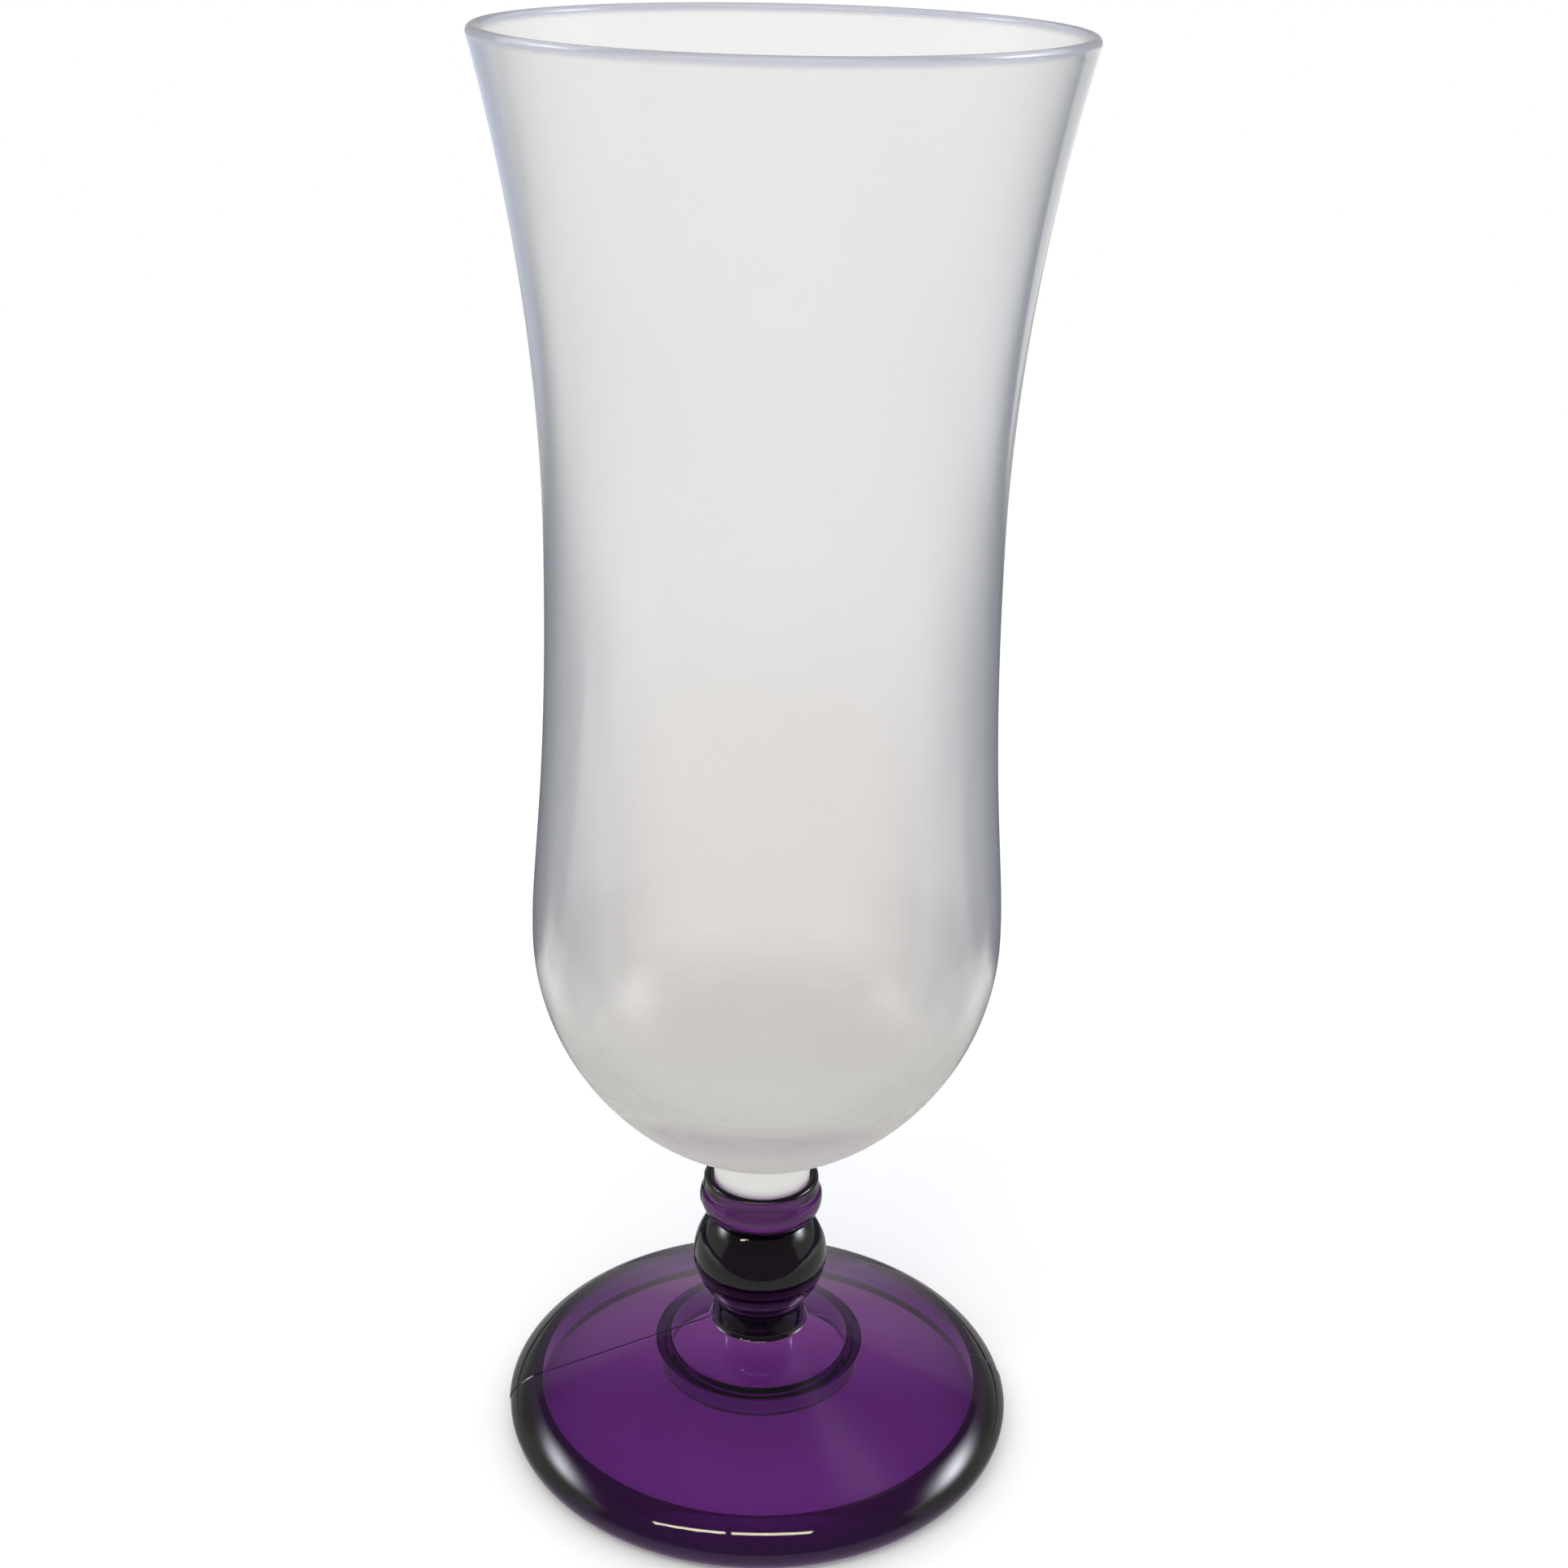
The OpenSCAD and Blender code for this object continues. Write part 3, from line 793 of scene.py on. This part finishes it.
def floor_through_glass(tree, x, y, distance, painted_shade):
    """The floor's colour, seen straight through the glass: the near sheet's painted warm shade
    and the cool grey patch of painted shade.
    """
    # Painted shade: the sheet near the glass is warm and dim
    far = add(tree, RANGE, (distance, *NEAR_SHEET_FADE), **SMOOTH)
    sheet = add(tree, MIX, {SHARE: far, FIRST: linear(NEAR_SHEET_PAINTED_SHADE_COLOUR),
                            SECOND: linear(WHITE)}, **COLOURS)
    lightens = add(tree, RANGE, (y, *PAINTED_SHADE_LIGHTENS), **SMOOTH)
    tint = add(tree, MIX, {SHARE: lightens, FIRST: linear(PAINTED_SHADE_NEAR_COLOUR),
                           SECOND: linear(PAINTED_SHADE_COLOUR)}, **COLOURS)
    off = add(tree, MATH, (x,), operation="ABSOLUTE")
    skew = add(tree, MATH, (x, PAINTED_SHADE_SIDE_SKEW), operation="MULTIPLY")
    aside = add(tree, MATH, (off, skew), operation="SUBTRACT")
    back = add(tree, MATH, (y, PAINTED_SHADE_SIDE_NEAR), operation="MAXIMUM")
    wide = add(tree, MATH, (aside, back), operation="DIVIDE")
    back_end = add(tree, RANGE, (y, *PAINTED_SHADE_END), **SMOOTH)
    side_end = add(tree, RANGE, (wide, *PAINTED_SHADE_SIDE_END), **SMOOTH)
    reach = add(tree, MATH, (back_end, side_end), operation="MULTIPLY")
    share = add(tree, MATH, (painted_shade, reach), operation="MULTIPLY")
    return add(tree, MIX, {SHARE: share, FIRST: sheet, SECOND: tint}, **COLOURS)


def floor_in_mirror(tree, x, y, distance, painted_shade):
    """The floor's colour in the glass's mirror, where the sheet ends: the patch of painted
    shade, the table, the backdrop's foot and the room's dark side follow."""
    open_floor = add(tree, RANGE, (distance, *SHEET_SHADE), **SMOOTH)
    near = add(tree, MIX, {SHARE: open_floor, FIRST: linear(SHEET_SHADE_COLOUR),
                           SECOND: linear(SHEET_COLOUR)}, **COLOURS)
    foot = add(tree, RANGE, (y, *BACKDROP_FOOT_Y), **SMOOTH)
    painted_shade_end = add(tree, RANGE, (y, *PAINTED_SHADE_MIRROR_END), **SMOOTH)
    on_dark = add(tree, MATH, (painted_shade, painted_shade_end), operation="MULTIPLY")
    left = add(tree, MATH, (y, SHEET_LEFT_SLOPE, SHEET_LEFT_X), operation="MULTIPLY_ADD")
    back = add(tree, MATH, (x, TABLE_BACK_SLOPE, TABLE_BACK_Y), operation="MULTIPLY_ADD")
    off_right = add(tree, MATH, (x, SHEET_RIGHT_X), operation="GREATER_THAN")
    on_table = add(tree, MATH, (y, back), operation="LESS_THAN")
    right = add(tree, MATH, (off_right, on_table), operation="MULTIPLY")
    off_left = add(tree, MATH, (x, left), operation="LESS_THAN")
    beside = add(tree, MATH, (right, off_left), operation="MAXIMUM")
    past_table = add(tree, MATH, (y, back), operation="GREATER_THAN")
    far_x = add(tree, RANGE, (x, *FAR_RIGHT_X), **SMOOTH)
    far_right = add(tree, MATH, (far_x, past_table), operation="MULTIPLY")
    left_x = add(tree, RANGE, (x, *FAR_LEFT_X), **SMOOTH)
    left_y = add(tree, RANGE, (y, *FAR_LEFT_Y), **SMOOTH)
    far_left = add(tree, MATH, (left_x, left_y), operation="MULTIPLY")
    before = add(tree, MATH, (y, SHEET_FRONT_Y), operation="LESS_THAN")
    colour = near
    for share, next_colour in ((foot, BACKDROP_COLOUR), (on_dark, PAINTED_SHADE_MIRROR_COLOUR),
                               (beside, TABLE_COLOUR), (far_right, FAR_RIGHT_COLOUR),
                               (far_left, FAR_LEFT_COLOUR), (before, DARK_COLOUR)):
        colour = add(tree, MIX, {SHARE: share, FIRST: colour, SECOND: linear(next_colour)},
                     **COLOURS)
    return colour


def matt_paper():
    """Uncoated paper: matt and plain, so it keeps the glass's shadow and fades to white round
    it.
    The glass lets through and mirrors the studio that lies beyond, with painted shade near the
    glass and in a cool grey patch behind it, and painted light just behind the stem."""
    made, tree, out = new_material("matt_paper")
    where = add(tree, "ShaderNodeTexCoord").outputs["Object"]
    x, y, _ = add(tree, XYZ, (where,)).outputs
    distance = add(tree, "ShaderNodeVectorMath", (where,), operation="LENGTH").outputs["Value"]
    path = add(tree, "ShaderNodeLightPath")
    camera = path.outputs["Is Camera Ray"]
    through = path.outputs["Is Transmission Ray"]
    paper = add(tree, "ShaderNodeBsdfDiffuse", {"Color": linear(PAPER_COLOUR)})
    fill = add(tree, "ShaderNodeEmission", {"Color": linear(WHITE), "Strength": PAPER_FILL})
    lifted = add(tree, "ShaderNodeAddShader", (paper, fill))
    near = add(tree, "ShaderNodeMixShader", (camera, paper, lifted))
    # The patch of painted shade, which the glass lets through and mirrors
    painted_shade = on_painted_shade(tree, x, y)
    tone = floor_through_glass(tree, x, y, distance, painted_shade)
    tone = add(tree, MIX, {SHARE: camera, FIRST: tone, SECOND: linear(WHITE)}, **COLOURS)
    plain = add(tree, "ShaderNodeEmission", {"Color": tone, "Strength": 1.0})
    # Under the foot the paper stays in the foot's shade; just behind the stem painted light
    # lifts it part way to the plain tone
    open_floor = add(tree, RANGE, (distance, *SHADE_FADE), **SMOOTH)
    behind = add(tree, RANGE, (y, *PAINTED_LIGHT_BEHIND), **SMOOTH)
    behind = add(tree, MATH, (behind, PAINTED_LIGHT_BEHIND_SHARE), operation="MULTIPLY")
    under = add(tree, MATH, (open_floor, behind), operation="MAXIMUM")
    for_glass = add(tree, MATH, (under, through), operation="MULTIPLY")
    fade = add(tree, RANGE, (distance, *FLOOR_FADE), **SMOOTH)
    for_camera = add(tree, MATH, (fade, camera), operation="MULTIPLY")
    share = add(tree, MATH, (for_glass, for_camera), operation="MAXIMUM")
    seen = add(tree, "ShaderNodeMixShader", (share, near, plain))
    mirror = add(tree, "ShaderNodeEmission",
                 {"Color": floor_in_mirror(tree, x, y, distance, painted_shade), "Strength": 1.0})
    final = add(tree, "ShaderNodeMixShader", (mirrored(tree, path), seen, mirror))
    tree.links.new(final.outputs[0], out.inputs["Surface"])
    return made


def studio_floor():
    """The pale sheet that the glass stands on."""
    mesh = bpy.data.meshes.new("table_sheet")
    corners = ((-1, -1), (1, -1), (1, 1), (-1, 1))
    mesh.from_pydata([(x * FLOOR_HALF, y * FLOOR_HALF, -FLOOR_DROP) for x, y in corners],
                     [], [(0, 1, 2, 3)])
    floor = bpy.data.objects.new("table_sheet", mesh)
    floor.data.materials.append(matt_paper())
    bpy.context.scene.collection.objects.link(floor)


def studio_lamps():
    """The ceiling's two fluorescent tubes, which the camera doesn't see."""
    for name, left, right in TUBES:
        light = bpy.data.lights.new(name, "AREA")
        light.shape = "RECTANGLE"
        light.size, light.size_y = right - left, TUBE_W
        light.energy = TUBE_LEVEL * math.pi * light.size * light.size_y
        light.color = linear(TUBE_COLOUR)[:3]
        made = bpy.data.objects.new(name, light)
        made.location = ((left + right) / 2, TUBE_Y, TUBE_Z)
        toward = Vector((0, -TUBE_Y, TUBE_AIM_Z - TUBE_Z))
        made.rotation_euler = toward.to_track_quat("-Z", "Y").to_euler()
        made.visible_camera = False
        bpy.context.scene.collection.objects.link(made)


# Camera, fitted to the glass's silhouettes

IMAGE_PX = 1932
FOCAL_PX = 2802.8
SENSOR_MM = 36
CAMERA_PLACE = (0, -0.286493, 0.225690)
CAMERA_PITCH, CAMERA_YAW, CAMERA_ROLL = 0.400509, 0.006907, 0.022073
CLIP_START = 0.01


def photo_camera():
    """The camera that was fitted to the glass's silhouettes. The photograph is a montage, so
    no one camera took all of it."""
    ahead = Vector((math.sin(CAMERA_YAW) * math.cos(CAMERA_PITCH),
                    math.cos(CAMERA_YAW) * math.cos(CAMERA_PITCH), -math.sin(CAMERA_PITCH)))
    side = Vector((math.cos(CAMERA_YAW), -math.sin(CAMERA_YAW), 0))
    up = side.cross(ahead)
    right = side * math.cos(CAMERA_ROLL) + up * math.sin(CAMERA_ROLL)
    top = up * math.cos(CAMERA_ROLL) - side * math.sin(CAMERA_ROLL)
    data = bpy.data.cameras.new("camera")
    data.sensor_width = SENSOR_MM
    data.lens = FOCAL_PX / IMAGE_PX * SENSOR_MM
    data.clip_start = CLIP_START
    data.dof.use_dof = False
    made = bpy.data.objects.new("camera", data)
    turn = Matrix((right, top, -ahead)).transposed().to_4x4()
    made.matrix_world = Matrix.Translation(CAMERA_PLACE) @ turn
    bpy.context.scene.collection.objects.link(made)
    bpy.context.scene.camera = made


# The scene

scene = bpy.context.scene
scene.view_settings.view_transform = "Standard"
# The thick edge bends light many times before it leaves
scene.cycles.max_bounces = 24
scene.cycles.transmission_bounces = 24
scene.cycles.glossy_bounces = 8
scene.cycles.diffuse_bounces = 12

photo_camera()
studio_world()
studio_floor()
studio_lamps()

tree = turning_tree()
bowl = turned("turned_bowl", bowl_outline(), tree, "bowl", "bowl", "bowl_polypropylene",
              columns=COLUMNS, parting_angle=0.0, mould_shift=0.0, flash_height=0.0,
              flash_width=FLASH_W * MM, material=moulded_polypropylene())
turned("turned_base", base_outline(), tree, "base", "base", "base_polystyrene",
       columns=COLUMNS, parting_angle=PARTING_ANGLE, mould_shift=MOULD_SHIFT * MM,
       flash_height=FLASH_H * MM, flash_width=FLASH_W * MM, material=moulded_polystyrene())
# The photographed base was pictured by itself, so its mirror doesn't show the bowl
bowl.visible_glossy = False
